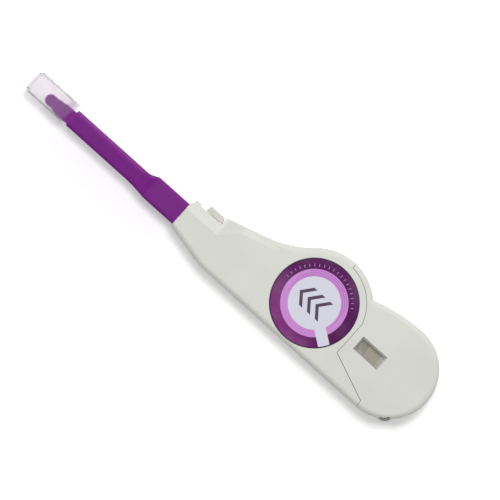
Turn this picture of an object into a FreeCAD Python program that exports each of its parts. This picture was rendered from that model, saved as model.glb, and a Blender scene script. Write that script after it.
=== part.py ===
import FreeCAD, Part
import math
import os
import re
import Sketcher
from FreeCAD import Placement, Rotation, Vector
from fcgear import fcgear, involute

# A tape cleaner for multi-fibre connectors, lying on its flat back.
# The origin is on the back face under the take-up reel's axle. +X points to the rear,
# so the nozzle points to -X. +Z is the label side. Millimetres.

doc = FreeCAD.newDocument("cleaner")
dims = doc.addObject("Spreadsheet::Sheet", "dims")

sizes = [
    # casing
    ("mouthX", -63.1, "front face of the casing"),
    ("mouthLow", -15.3, "lower corner of the mouth"),
    ("mouthHigh", -3.0, "upper corner of the mouth"),
    ("shoulderX", -59.9, "end of the short slope beside the mouth"),
    ("shoulderY", -1.5, "height of that slope's end"),
    ("bottomY", -19.6, "straight lower side"),
    ("bottomTurnX", -44.0, "where the lower side turns towards the mouth"),
    ("bottomTurnRound", 40.0, "radius of that turn"),
    ("flankX", -31.5, "start of the hollow flank on the upper side"),
    ("flankY", 6.95, "its height"),
    ("bulgeX", 1.2, "centre of the round part over the take-up reel"),
    ("bulgeY", 0.4, ""),
    ("bulgeRadius", 22.4, ""),
    ("reelGap", 40.5, "distance between the two reels' axles"),
    ("bulbX", 39.7, "centre of the round rear end"),
    ("bulbRadius", 20.0, "it touches the lower side"),
    ("backRadius", 70.0, "shallow arc between bulge and bulb"),
    ("notchRound", 1.8, "fillet in the notch where bulge and back meet"),
    ("thickness", 20.0, "overall thickness"),
    ("parting", 9.0, "joint between the lower case and the covers"),
    ("wall", 1.6, "moulded wall"),
    ("topRound", 2.2, "rounded edge of the covers"),
    ("bottomRound", 1.2, "rounded edge of the lower case"),
    # sloping face beside the lock and the ridge behind it
    ("scoopFront", -65.0, ""),
    ("scoopY", -5.9, "inner edge of the face beside the lock"),
    ("scoopSlope", 0.71, "fall across the face, per millimetre"),
    ("ridgeX", -47.0, "where the ridge leaves the lock"),
    ("ridgeMidX", -40.2, ""),
    ("ridgeMidY", 1.0, ""),
    ("ridgeMidSlope", 0.45, ""),
    ("ridgeEndX", -24.0, "where the ridge runs out"),
    ("ridgeEndY", 5.5, ""),
    ("ridgeEndSlope", 0.01, ""),
    ("scoopReach", 14.0, "past the upper side"),
    ("mouthEdge", 0.45, "bevel on the mouth's upper edge"),
    # seam between the covers
    ("seamRadius", 20.8, "seam round the label"),
    ("seamTopX", 2.1, "where the seam leaves the upper edge"),
    ("seamX", 19.8, "straight part beside the window"),
    ("seamCornerY", -8.6, "its lower corner"),
    ("seamEndX", 39.7, "lower end of the seam"),
    ("seamEndY", -16.6, ""),
    ("seamGap", 0.14, "gap between the covers"),
    # label and window
    ("labelRadius", 18.0, ""),
    ("labelDepth", 0.3, "recess under the label"),
    ("labelSheet", 0.2, "label thickness"),
    ("windowX", 29.8, "centre of the window"),
    ("windowLength", 12.6, ""),
    ("windowWidth", 6.4, ""),
    ("windowDepth", 1.3, "recess for the pane"),
    ("paneSheet", 0.8, "pane thickness"),
    # lanyard loop
    ("loopAngle", -54.0, "direction from the supply reel"),
    ("loopFloor", 18.3, "bottom of the notch behind the bar"),
    ("loopRoot", 18.6, "where the bow's ends start"),
    ("loopInner", 19.4, "inner face of the bow"),
    ("loopOuter", 20.5, "outer face of the bow"),
    ("loopHalf", 2.1, "half the notch's length"),
    ("loopEnd", 3.4, "half the bow's length"),
    ("loopLow", 3.0, "underside of the bow"),
    # lock
    ("lockFront", -59.9, "front of the lock's notch"),
    ("lockRear", -48.3, "rear of the lock's notch"),
    ("lockFloor", -1.4, "floor of the notch"),
    ("lockTravel", 3.0, "way that the lock slides forward"),
    ("lockOut", 1.35, "outer face of the lock"),
    ("lockLow", 3.0, "underside of the lock"),
    ("lockHeight", 13.5, ""),
    ("lockLean", 0.6, "slant of its ends"),
    ("slotInner", -2.4, "step inside the T slot"),
    ("slotHalf", 1.2, "half the narrow slot"),
    ("slotHeadHalf", 2.2, "half the wide slot"),
    # nozzle
    ("axisY", -10.0, "axis of nozzle, head and rack"),
    ("axisZ", 10.0, ""),
    ("collarX", -126.0, "front end of the nozzle"),
    ("collarBack", -121.1, "shoulder behind the collar"),
    ("noseLength", 3.2, "narrowing nose in front of the collar"),
    ("noseWall", 0.25, "its wall at the front"),
    ("collarLow", -12.9, ""),
    ("collarHigh", -6.9, ""),
    ("collarHalfZ", 5.5, ""),
    ("slimLow", -13.5, "slender part of the nozzle"),
    ("slimHigh", -6.5, ""),
    ("slimHalfZ", 6.15, ""),
    ("keyHigh", -5.6, "outer face of the key rib"),
    ("keyHalfZ", 1.6, ""),
    ("flareStart", -89.5, "start of the flare"),
    ("flareEnd", -79.1, "end of the flare"),
    ("wideLow", -14.4, "thick part of the nozzle"),
    ("wideHigh", -3.9, ""),
    ("wideHalfZ", 7.5, ""),
    ("nozzleRear", -50.0, ""),
    ("nozzleRound", 1.3, "rounded long edges"),
    ("mouthClearance", 0.1, ""),
    ("channelHalfY", 2.4, "channel for the head"),
    ("channelHalfZ", 5.0, ""),
    ("pocketFront", -82.0, "front of the wide pocket"),
    ("pocketLow", -13.2, ""),
    ("pocketHigh", -5.1, ""),
    ("pocketHalfZ", 6.3, ""),
    # head
    ("tipX", -134.4, "front of the cheeks"),
    ("headHalfY", 2.35, ""),
    ("headHalfZ", 4.9, ""),
    ("cheek", 1.3, "cheek thickness"),
    ("webHalf", 0.55, ""),
    ("noseRadius", 2.1, "nose that the tape turns round"),
    ("headRear", -78.0, ""),
    ("stopLength", 2.0, ""),
    # rack and gear
    ("module", 0.8, "size of the teeth"),
    ("gearTeeth", 20, ""),
    ("gearLow", 2.2, "underside of the gear"),
    ("gearTop", 5.2, ""),
    ("rackLow", 2.6, "underside of the rack bar"),
    ("rackBack", -12.4, "back of the rack bar"),
    ("rackEnd", 6.0, "rear end of the rack bar"),
    ("backlash", 0.16, "taken off each rack tooth"),
    ("lugX", -44.5, "face that the return spring pushes"),
    ("springY", -3.2, "axis of the return spring"),
    ("ribX", -19.2, "fixed seat of the return spring"),
    # reels
    ("axleRadius", 2.0, ""),
    ("axleFit", 0.05, "radial clearance on an axle"),
    ("flangeRadius", 16.2, ""),
    ("flangeSheet", 0.8, ""),
    ("flangeLow", 5.7, "underside of the lower flanges"),
    ("flangeHigh", 13.5, "underside of the upper flanges"),
    ("hubRadius", 6.0, ""),
    ("tapeLow", 6.75, ""),
    ("tapeWidth", 6.5, ""),
    ("tapeSheet", 0.12, ""),
    ("usedRadius", 9.0, "roll of used tape"),
    ("freshRadius", 12.4, "roll of fresh tape"),
    ("collarRadius", 6.4, "raised collar of the supply hub"),
    ("ratchetTeeth", 16, ""),
    ("ratchetRadius", 7.0, ""),
    ("pinRadius", 0.9, "tape guide pins"),
    # cap
    ("capFront", -142.9, ""),
    ("capRear", -123.1, ""),
    ("capLow", -13.75, ""),
    ("capHigh", -3.7, ""),
    ("capHalfZ", 7.0, ""),
    ("capWall", 0.8, ""),
    ("capRound", 2.4, ""),
    ("capTab", 0.9, "tab at the rear edge"),
]

for row, (name, size, note) in enumerate(sizes, start=1):
    dims.set(f"A{row}", name)
    dims.set(f"B{row}", str(size))
    dims.setAlias(f"B{row}", name)
    dims.set(f"C{row}", note)
doc.recompute()

aliases = {name for name, size, note in sizes}


def linked(text):
    """Expression text in which each alias is read from the sheet."""
    return re.sub(r"[A-Za-z]\w*", lambda m: "dims." + m[0] if m[0] in aliases else m[0], str(text))


def size(text):
    """Value of an expression over the sheet's cells."""
    return float(dims.evalExpression(linked(text)))


def bind(thing, prop, text):
    thing.setExpression(prop, linked(text))


# ---------------------------------------------------------------- modelling helpers

def newBody(label):
    body = doc.addObject("PartDesign::Body", label)
    body.Label = label
    return body


def newSketch(body, plane, height="0", name="outline"):
    """Sketch on one of the body's own origin planes, raised along its normal."""
    sketch = body.newObject("Sketcher::SketchObject", name)
    support = [f for f in body.Origin.OriginFeatures if f.Role == plane][0]
    sketch.AttachmentSupport = (support, [""])
    sketch.MapMode = "FlatFace"
    bind(sketch, "AttachmentOffset.Base.z", height)
    return sketch


def pin(sketch, geo, pos, x, y):
    """Hold a point of the sketch at bound distances from the origin."""
    for kind, text in (("DistanceX", x), ("DistanceY", y)):
        index = sketch.addConstraint(Sketcher.Constraint(kind, -1, 1, geo, pos, size(text)))
        sketch.setExpression(f"Constraints[{index}]", linked(text))


def polygon(sketch, points):
    first = sketch.GeometryCount
    spots = [Vector(size(x), size(y), 0) for x, y in points]
    count = len(spots)
    for i in range(count):
        sketch.addGeometry(Part.LineSegment(spots[i], spots[(i + 1) % count]), False)
    for i in range(count):
        sketch.addConstraint(
            Sketcher.Constraint("Coincident", first + i, 2, first + (i + 1) % count, 1))
    for i, (x, y) in enumerate(points):
        pin(sketch, first + i, 1, x, y)


def box(sketch, x0, y0, x1, y1):
    polygon(sketch, [(x0, y0), (x1, y0), (x1, y1), (x0, y1)])


def circle(sketch, x, y, radius):
    geo = sketch.addGeometry(Part.Circle(Vector(size(x), size(y), 0), Vector(0, 0, 1), size(radius)))
    pin(sketch, geo, 3, x, y)
    index = sketch.addConstraint(Sketcher.Constraint("Radius", geo, size(radius)))
    sketch.setExpression(f"Constraints[{index}]", linked(radius))


def edgesInSketch(sketch, edges):
    """Lines and arcs of a closed chain, joined end to end."""
    first = sketch.GeometryCount
    for edge in edges:
        sketch.addGeometry(edge, False)
    count = len(edges)

    def endAt(geo, point):
        return min((1, 2), key=lambda pos: (sketch.getPoint(geo, pos) - point).Length)

    for i in range(count):
        here, there = first + i, first + (i + 1) % count
        point = edges[i].EndPoint
        sketch.addConstraint(Sketcher.Constraint(
            "Coincident", here, endAt(here, point), there, endAt(there, point)))


def pad(body, sketch, length, down=False):
    feature = body.newObject("PartDesign::Pad", "pad")
    feature.Profile = sketch
    feature.Reversed = down
    bind(feature, "Length", length)
    doc.recompute()
    return feature


def pocket(body, sketch, length, up=False):
    """Cut; up=True cuts along the sketch's normal. The volume has to fall."""
    before = body.Shape.Volume
    feature = body.newObject("PartDesign::Pocket", "pocket")
    feature.Profile = sketch
    feature.Reversed = up
    bind(feature, "Length", length)
    doc.recompute()
    if body.Shape.Volume > before - 1e-6:
        raise RuntimeError(f"{body.Label}: a pocket cuts nothing")
    return feature


def padBox(body, plane, height, length, x0, y0, x1, y1):
    sketch = newSketch(body, plane, height)
    box(sketch, x0, y0, x1, y1)
    return pad(body, sketch, length)


def cutBox(body, plane, height, length, x0, y0, x1, y1):
    sketch = newSketch(body, plane, height)
    box(sketch, x0, y0, x1, y1)
    return pocket(body, sketch, length, up=True)


def padDisc(body, height, length, x, y, radius):
    sketch = newSketch(body, "XY_Plane", height)
    circle(sketch, x, y, radius)
    return pad(body, sketch, length)


def cutDisc(body, height, length, x, y, radius):
    sketch = newSketch(body, "XY_Plane", height)
    circle(sketch, x, y, radius)
    return pocket(body, sketch, length, up=True)


def revolve(body, points):
    """Turn an outline of (radius, height) points about the body's own Z axis."""
    sketch = newSketch(body, "XZ_Plane")
    polygon(sketch, points)
    feature = body.newObject("PartDesign::Revolution", "turned")
    feature.Profile = sketch
    feature.ReferenceAxis = (sketch, ["V_Axis"])
    feature.Angle = 360
    doc.recompute()
    return feature


def roundEdges(body, radius, chosen, kind="Fillet"):
    """Fillet or chamfer the edges of the body's last feature that chosen(edge) picks."""
    base = body.Tip
    names = [f"Edge{i}" for i, edge in enumerate(base.Shape.Edges, start=1) if chosen(edge)]
    if not names:
        raise RuntimeError(f"{body.Label}: no edge to round")
    feature = body.newObject(f"PartDesign::{kind}", kind.lower())
    feature.Base = (base, names)
    bind(feature, "Radius" if kind == "Fillet" else "Size", radius)
    doc.recompute()
    return feature


def polar(body, feature, count):
    pattern = body.newObject("PartDesign::PolarPattern", "ring")
    pattern.Originals = [feature]
    axis = [f for f in body.Origin.OriginFeatures if f.Role == "Z_Axis"][0]
    pattern.Axis = (axis, [""])
    pattern.Angle = 360
    bind(pattern, "Occurrences", count)
    body.Tip = pattern
    doc.recompute()
    return pattern


def linear(body, feature, role, length, count, back=False):
    pattern = body.newObject("PartDesign::LinearPattern", "row")
    pattern.Originals = [feature]
    axis = [f for f in body.Origin.OriginFeatures if f.Role == role][0]
    pattern.Direction = (axis, [""])
    pattern.Reversed = back
    bind(pattern, "Length", length)
    bind(pattern, "Occurrences", count)
    body.Tip = pattern
    doc.recompute()
    return pattern


def flat(edge, height):
    box_ = edge.BoundBox
    return abs(box_.ZMin - height) < 1e-4 and abs(box_.ZMax - height) < 1e-4


def moved(body, x="0", y="0", height="0"):
    bind(body, "Placement.Base.x", x)
    bind(body, "Placement.Base.y", y)
    bind(body, "Placement.Base.z", height)


# ---------------------------------------------------------------- outline of the casing

def caseWire():
    """Plan outline of the whole casing, counter-clockwise from the lower corner of the mouth."""
    mouthLow = Vector(size("mouthX"), size("mouthLow"), 0)
    mouthHigh = Vector(size("mouthX"), size("mouthHigh"), 0)
    turn = Vector(size("bottomTurnX"), size("bottomY"), 0)
    bulbRadius = size("bulbRadius")
    bulb = Vector(size("bulbX"), size("bottomY") + bulbRadius, 0)
    bulge = Vector(size("bulgeX"), size("bulgeY"), 0)
    bulgeRadius = size("bulgeRadius")
    shoulder = Vector(size("shoulderX"), size("shoulderY"), 0)
    flank = Vector(size("flankX"), size("flankY"), 0)

    # lower side: the turn is an arc that touches both lines
    towards = (mouthLow - turn).normalize()
    half = math.acos(towards.dot(Vector(1, 0, 0))) / 2
    reach = size("bottomTurnRound") / math.tan(half)
    turnFront = turn + towards * reach
    turnRear = turn + Vector(reach, 0, 0)
    middle = turn + (towards + Vector(1, 0, 0)).normalize() * (
        size("bottomTurnRound") / math.sin(half) - size("bottomTurnRound"))

    # upper side: a hollow arc leaves the flank's line and touches the bulge
    along = (flank - shoulder).normalize()
    out = Vector(-along.y, along.x, 0)
    gap = flank - bulge
    hollow = (bulgeRadius ** 2 - gap.dot(gap)) / (2 * (gap.dot(out) - bulgeRadius))
    hollowCentre = flank + out * hollow
    touch = bulge + (hollowCentre - bulge).normalize() * bulgeRadius
    bisector = ((flank - hollowCentre) + (touch - hollowCentre)).normalize()
    hollowMiddle = hollowCentre + bisector * hollow

    # shallow back arc, from the top of the bulb forward to the fillet in the notch
    top = bulb + Vector(0, bulbRadius, 0)
    backCentre = top - Vector(0, size("backRadius"), 0)
    fillet = size("notchRound")
    span = (backCentre - bulge).Length
    long = size("backRadius") + fillet
    short = bulgeRadius + fillet
    along2 = (short ** 2 - long ** 2 + span ** 2) / (2 * span)
    across = math.sqrt(short ** 2 - along2 ** 2)
    line = (backCentre - bulge).normalize()
    filletCentre = bulge + line * along2 + Vector(-line.y, line.x, 0) * across
    filletBack = backCentre + (filletCentre - backCentre).normalize() * size("backRadius")
    filletBulge = bulge + (filletCentre - bulge).normalize() * bulgeRadius
    filletMiddle = filletCentre + (
        (filletBack - filletCentre) + (filletBulge - filletCentre)).normalize() * fillet
    backMiddle = backCentre + (
        (top - backCentre) + (filletBack - backCentre)).normalize() * size("backRadius")
    bulgeMiddle = bulge + ((touch - bulge) + (filletBulge - bulge)).normalize() * bulgeRadius

    return [
        Part.LineSegment(mouthLow, turnFront),
        Part.Arc(turnFront, middle, turnRear),
        Part.LineSegment(turnRear, bulb - Vector(0, bulbRadius, 0)),
        Part.Arc(bulb - Vector(0, bulbRadius, 0), bulb + Vector(bulbRadius, 0, 0), top),
        Part.Arc(top, backMiddle, filletBack),
        Part.Arc(filletBack, filletMiddle, filletBulge),
        Part.Arc(filletBulge, bulgeMiddle, touch),
        Part.Arc(touch, hollowMiddle, flank),
        Part.LineSegment(flank, shoulder),
        Part.LineSegment(shoulder, mouthHigh),
        Part.LineSegment(mouthHigh, mouthLow),
    ]


def caseSketch(body, height, inset=False):
    """The casing's outline, or the same drawn one wall further in."""
    sketch = newSketch(body, "XY_Plane", height, "case")
    edges = caseWire()
    if inset:
        wire = Part.Wire([edge.toShape() for edge in edges])
        inner = wire.makeOffset2D(-size("wall"))
        edges = []
        for edge in Part.__sortEdges__(inner.Edges):
            start, end = edge.Vertexes[0].Point, edge.Vertexes[-1].Point
            if edge.Orientation == "Reversed":
                start, end = end, start
            if isinstance(edge.Curve, Part.Circle):
                edges.append(Part.Arc(start, edge.valueAt(
                    (edge.FirstParameter + edge.LastParameter) / 2), end))
            else:
                edges.append(Part.LineSegment(start, end))
    edgesInSketch(sketch, edges)
    return sketch


def seamSketch(body, height, keepFront):
    """Region on the far side of the seam, which a cover is cut away from."""
    shift = size("seamGap") / 2
    far = 90.0
    if not keepFront:
        shift = -shift
    radius = size("seamRadius") - shift
    seamX = size("seamX") - shift
    topX = size("seamTopX") - shift
    corner = Vector(seamX, size("seamCornerY") - shift, 0)
    end = Vector(size("seamEndX") - shift, size("seamEndY") - shift, 0)
    arcTop = Vector(topX, math.sqrt(radius ** 2 - topX ** 2), 0)
    arcLow = Vector(seamX, math.sqrt(radius ** 2 - seamX ** 2), 0)
    arcMiddle = (arcTop + arcLow).normalize() * radius
    above = Vector(topX, far, 0)
    below = Vector(end.x, -far, 0)
    side = far if keepFront else -far
    edges = [
        Part.LineSegment(above, arcTop),
        Part.Arc(arcTop, arcMiddle, arcLow),
        Part.LineSegment(arcLow, corner),
        Part.LineSegment(corner, end),
        Part.LineSegment(end, below),
        Part.LineSegment(below, Vector(side, -far, 0)),
        Part.LineSegment(Vector(side, -far, 0), Vector(side, far, 0)),
        Part.LineSegment(Vector(side, far, 0), above),
    ]
    sketch = newSketch(body, "XY_Plane", height, "seam")
    edgesInSketch(sketch, edges)
    return sketch


def loopSketch(body, height):
    """Sketch whose own X axis points from the supply reel to the lanyard loop."""
    sketch = newSketch(body, "XY_Plane", height, "loop")
    turn = Rotation(Vector(0, 0, 1), size("loopAngle"))
    sketch.AttachmentOffset = Placement(Vector(size("reelGap"), 0, size(height)), turn)
    bind(sketch, "AttachmentOffset.Base.x", "reelGap")
    return sketch


def mouthCut(body):
    """Tunnel that the nozzle slides in, with rounded corners."""
    sketch = newSketch(body, "YZ_Plane", "mouthX - 2", "mouth")
    low, high = size("wideLow - mouthClearance"), size("wideHigh + mouthClearance")
    down, up = size("axisZ - wideHalfZ - mouthClearance"), size("axisZ + wideHalfZ + mouthClearance")
    edgesInSketch(sketch, roundedBox(low, down, high, up, size("nozzleRound")))
    pocket(body, sketch, "20", up=True)


def roundedBox(x0, y0, x1, y1, radius):
    """Closed chain of lines and quarter arcs, counter-clockwise."""
    corners = [(x1, y0, -90), (x1, y1, 0), (x0, y1, 90), (x0, y0, 180)]
    arcs = []
    for x, y, start in corners:
        centre = Vector(x - math.copysign(radius, x - x0 - (x1 - x0) / 2),
                        y - math.copysign(radius, y - y0 - (y1 - y0) / 2), 0)
        points = [centre + Vector(math.cos(math.radians(a)), math.sin(math.radians(a)), 0) * radius
                  for a in (start, start + 45, start + 90)]
        arcs.append(Part.Arc(*points))
    edges = []
    for i, arc in enumerate(arcs):
        edges.append(arc)
        edges.append(Part.LineSegment(arc.EndPoint, arcs[(i + 1) % 4].StartPoint))
    return edges


def lockCuts(body, low, high):
    """Notch and T slot for the lock, between two heights."""
    cutBox(body, "XY_Plane", low, f"{high} - ({low})", "lockFront", "lockFloor", "lockRear", "12")
    for step0, step1, half in (("lockFloor + 1", "slotInner", "slotHalf"),
                               ("slotInner", "wideHigh - 1", "slotHeadHalf")):
        bottom = f"max({low}; axisZ - {half})"
        top = f"min({high}; axisZ + {half})"
        cutBox(body, "XY_Plane", bottom, f"{top} - {bottom}",
               "lockFront + 1", step1, "lockRear - 1", step0)


# ---------------------------------------------------------------- casing

def lowerCase():
    body = newBody("lower_case")
    pad(body, caseSketch(body, "0"), "parting")
    roundEdges(body, "bottomRound", lambda edge: flat(edge, 0))
    pocket(body, caseSketch(body, "parting", inset=True), "parting - wall")
    # wall beside the lock and the tunnel for the nozzle
    padBox(body, "XY_Plane", "wall", "parting - wall",
           "mouthX + 1", "slotInner - 1.6", "lockRear + 1.3", "lockFloor + 0.6")
    mouthCut(body)
    lockCuts(body, "-1", "parting")
    # axles: a thrust face each, then the pin that the hubs turn on
    for x, seat, foot in (("0", "gearLow - 0.2", "3.2"), ("reelGap", "flangeLow - 0.5", "4.4")):
        padDisc(body, "wall", f"{seat} - wall", x, "0", foot)
        padDisc(body, "wall", "thickness - 1.8 - wall", x, "0", "axleRadius")
    # runners under the nozzle and behind the rack bar
    for low in ("pocketLow - 0.2", "wideHigh - 1.4"):
        padBox(body, "XY_Plane", "wall", "axisZ - wideHalfZ - mouthClearance - wall",
               "mouthX + 3", low, "-37", f"{low} + 1")
    padBox(body, "XY_Plane", "wall", "gearTop - wall", "-27", "rackBack - 1.2", "19", "rackBack - 0.15")
    padBox(body, "XY_Plane", "wall", "rackLow - 0.1 - wall", "-30", "rackBack + 0.6", "-12", "-9.4")
    # seat of the return spring, with its spigot
    padBox(body, "XY_Plane", "wall", "axisZ + 2.6 - wall", "ribX", "-6.3", "ribX + 1.6", "0.4")
    spigot = newSketch(body, "YZ_Plane", "ribX - 2")
    circle(spigot, "springY", "axisZ", "1.3")
    pad(body, spigot, "2.5")
    # feet of the tape guide pins
    for x, y in pinSpots:
        padDisc(body, "wall", "tapeLow - 0.9 - wall", x, y, "pinRadius + 0.2")
    # lanyard notch and the bow across it
    notch = loopSketch(body, "-1")
    box(notch, "loopFloor", "-loopHalf", "loopOuter + 2", "loopHalf")
    pocket(body, notch, "parting + 2", up=True)
    bow = loopSketch(body, "loopLow")
    root, inner, outer = size("loopRoot"), size("loopInner"), size("loopOuter")
    half, end = size("loopHalf"), size("loopEnd")
    low, lowInside, highInside, high = (Vector(root, y, 0) for y in (-end, -half, half, end))
    edgesInSketch(bow, [
        Part.Arc(low, Vector(outer, 0, 0), high),
        Part.LineSegment(high, highInside),
        Part.Arc(highInside, Vector(inner, 0, 0), lowInside),
        Part.LineSegment(lowInside, low),
    ])
    pad(body, bow, "parting - loopLow")
    return body


def cover(label, keepFront):
    """Cover over the full outline, hollowed, then cut along the seam."""
    body = newBody(label)
    pad(body, caseSketch(body, "parting"), "thickness - parting")
    front = size("mouthX") + 0.5
    roundEdges(body, "topRound", lambda edge: flat(edge, size("thickness"))
               and not (keepFront and edge.CenterOfMass.x < front))
    if keepFront:
        roundEdges(body, "mouthEdge", lambda edge: flat(edge, size("thickness"))
                   and edge.CenterOfMass.x < front, "Chamfer")
    hollow = caseSketch(body, "parting", inset=True)
    pocket(body, hollow, "thickness - wall - parting", up=True)
    pocket(body, seamSketch(body, "parting - 1", keepFront), "thickness", up=True)
    return body


def scoop(body):
    """Sloping face beside the lock that turns and runs out in a diagonal ridge behind it."""
    sections = []
    for x, inner, slope in (("scoopFront", "scoopY", "scoopSlope"), ("ridgeX", "scoopY", "scoopSlope"),
                            ("ridgeMidX", "ridgeMidY", "ridgeMidSlope"),
                            ("ridgeEndX", "ridgeEndY", "ridgeEndSlope")):
        sketch = newSketch(body, "YZ_Plane", x, "scoop")
        fall = f"{slope} * (scoopReach - ({inner}))"
        polygon(sketch, [(inner, "thickness"), ("scoopReach", f"thickness - {fall}"),
                         ("scoopReach", "thickness + 4"), (inner, "thickness + 4")])
        sections.append(sketch)
    before = body.Shape.Volume
    cut = body.newObject("PartDesign::SubtractiveLoft", "scoopCut")
    cut.Profile = sections[0]
    cut.Sections = sections[1:]
    cut.Ruled = True
    doc.recompute()
    if body.Shape.Volume > before - 1:
        raise RuntimeError("the scoop cuts nothing")


def frontCover():
    body = cover("front_cover", True)
    # solid wall beside the lock, and a thicker roof under the sloping face
    padBox(body, "XY_Plane", "parting", "thickness - wall - parting",
           "mouthX + 1", "slotInner - 1.6", "lockRear + 1.3", "lockFloor + 0.6")
    roof = newSketch(body, "XY_Plane", "thickness - 3 * wall", "roof")
    polygon(roof, [("ridgeX", "wideHigh + 0.2"), ("ridgeX + 11", "wideHigh + 0.2"),
                   ("ridgeX + 11", "4.2"), ("ridgeX", "0.9")])
    pad(body, roof, "2 * wall")
    scoop(body)
    mouthCut(body)
    lockCuts(body, "parting", "thickness + 1")
    cutDisc(body, "thickness - labelDepth", "1", "0", "0", "labelRadius + 0.12")
    # socket for the take-up axle and the boss that carries the pawl
    padDisc(body, "thickness - 3.4", "3.4 - wall", "0", "0", "3.6")
    cutDisc(body, "thickness - 3.5", "1.8", "0", "0", "axleRadius + axleFit")
    padDisc(body, "flangeHigh + 1.9", "thickness - wall - flangeHigh - 1.9", *pawlSpot, "1.5")
    # runners over the nozzle
    for low in ("pocketLow - 0.2", "wideHigh - 1.4"):
        padBox(body, "XY_Plane", "axisZ + wideHalfZ + mouthClearance",
               "thickness - wall - axisZ - wideHalfZ - mouthClearance",
               "mouthX + 3", low, "-37", f"{low} + 1")
    return body


def rearCover():
    body = cover("rear_cover", False)
    half = "windowLength / 2"
    side = "windowWidth / 2"
    cutBox(body, "XY_Plane", "thickness - windowDepth", "windowDepth + 1",
           f"windowX - {half}", f"-{side}", f"windowX + {half}", side)
    cutBox(body, "XY_Plane", "thickness - 3", "3",
           f"windowX - {half} + 0.6", f"-{side} + 0.6", f"windowX + {half} - 0.6", f"{side} - 0.6")
    padDisc(body, "thickness - 3.4", "3.4 - wall", "reelGap", "0", "3.6")
    cutDisc(body, "thickness - 3.5", "1.8", "reelGap", "0", "axleRadius + axleFit")
    notch = loopSketch(body, "parting - 1")
    box(notch, "loopFloor", "-loopHalf", "loopOuter + 2", "loopHalf")
    pocket(body, notch, "thickness", up=True)
    return body


def windowPane():
    body = newBody("window_pane")
    padBox(body, "XY_Plane", "thickness - windowDepth", "paneSheet",
           "windowX - windowLength / 2 + 0.05", "-windowWidth / 2 + 0.05",
           "windowX + windowLength / 2 - 0.05", "windowWidth / 2 - 0.05")
    roundEdges(body, "0.15", lambda edge: flat(edge, size("thickness - windowDepth + paneSheet")), "Chamfer")
    return body


def roundLabel():
    body = newBody("round_label")
    padDisc(body, "thickness - labelDepth", "labelSheet", "0", "0", "labelRadius")
    return body


def lockButton():
    body = newBody("lock_button")
    rear = "lockRear - 0.15"
    front = "lockFront + lockTravel + 0.25"
    grip = newSketch(body, "XY_Plane", "lockLow", "grip")
    polygon(grip, [(front, "lockFloor + 0.1"), (rear, "lockFloor + 0.1"),
                   (f"{rear} - lockLean", "lockOut"), (f"{front} + lockLean", "lockOut")])
    pad(body, grip, "lockHeight")
    roundEdges(body, "0.5", lambda edge: edge.CenterOfMass.y > size("lockOut") - 0.01)
    # neck and head that slide in the T slot
    for y0, y1, half in (("slotInner - 0.15", "lockFloor + 0.2", "slotHalf - 0.12"),
                         ("wideHigh + 0.25", "slotInner - 0.12", "slotHeadHalf - 0.12")):
        padBox(body, "XY_Plane", f"axisZ - ({half})", f"2 * ({half})",
               f"{front} + 2.2", y0, f"{rear} - 1.1", y1)
    return body


# ---------------------------------------------------------------- nozzle and carriage

def flaredProfile(sketch, low, high, slimLow, slimHigh):
    """Half outline in the sketch: slender, then a hollow flare on each side, then wide."""
    x0, x1 = size("flareStart"), size("flareEnd")
    front, rear = size("collarBack"), size("nozzleRear")

    def flare(slim, wide):
        rise = abs(wide - slim)
        run = x1 - x0
        radius = (run * run + rise * rise) / (2 * rise)
        turn = math.asin(run / radius) / 2
        side = math.copysign(1, wide - slim)
        middle = Vector(x0 + radius * math.sin(turn), slim + side * radius * (1 - math.cos(turn)), 0)
        return Vector(x0, slim, 0), middle, Vector(x1, wide, 0)

    low, high, slimLow, slimHigh = size(low), size(high), size(slimLow), size(slimHigh)
    a0, am, a1 = flare(slimLow, low)
    b0, bm, b1 = flare(slimHigh, high)
    edgesInSketch(sketch, [
        Part.LineSegment(Vector(front, slimLow, 0), a0),
        Part.Arc(a0, am, a1),
        Part.LineSegment(a1, Vector(rear, low, 0)),
        Part.LineSegment(Vector(rear, low, 0), Vector(rear, high, 0)),
        Part.LineSegment(Vector(rear, high, 0), b1),
        Part.Arc(b1, bm, b0),
        Part.LineSegment(b0, Vector(front, slimHigh, 0)),
        Part.LineSegment(Vector(front, slimHigh, 0), Vector(front, slimLow, 0)),
    ])


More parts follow.
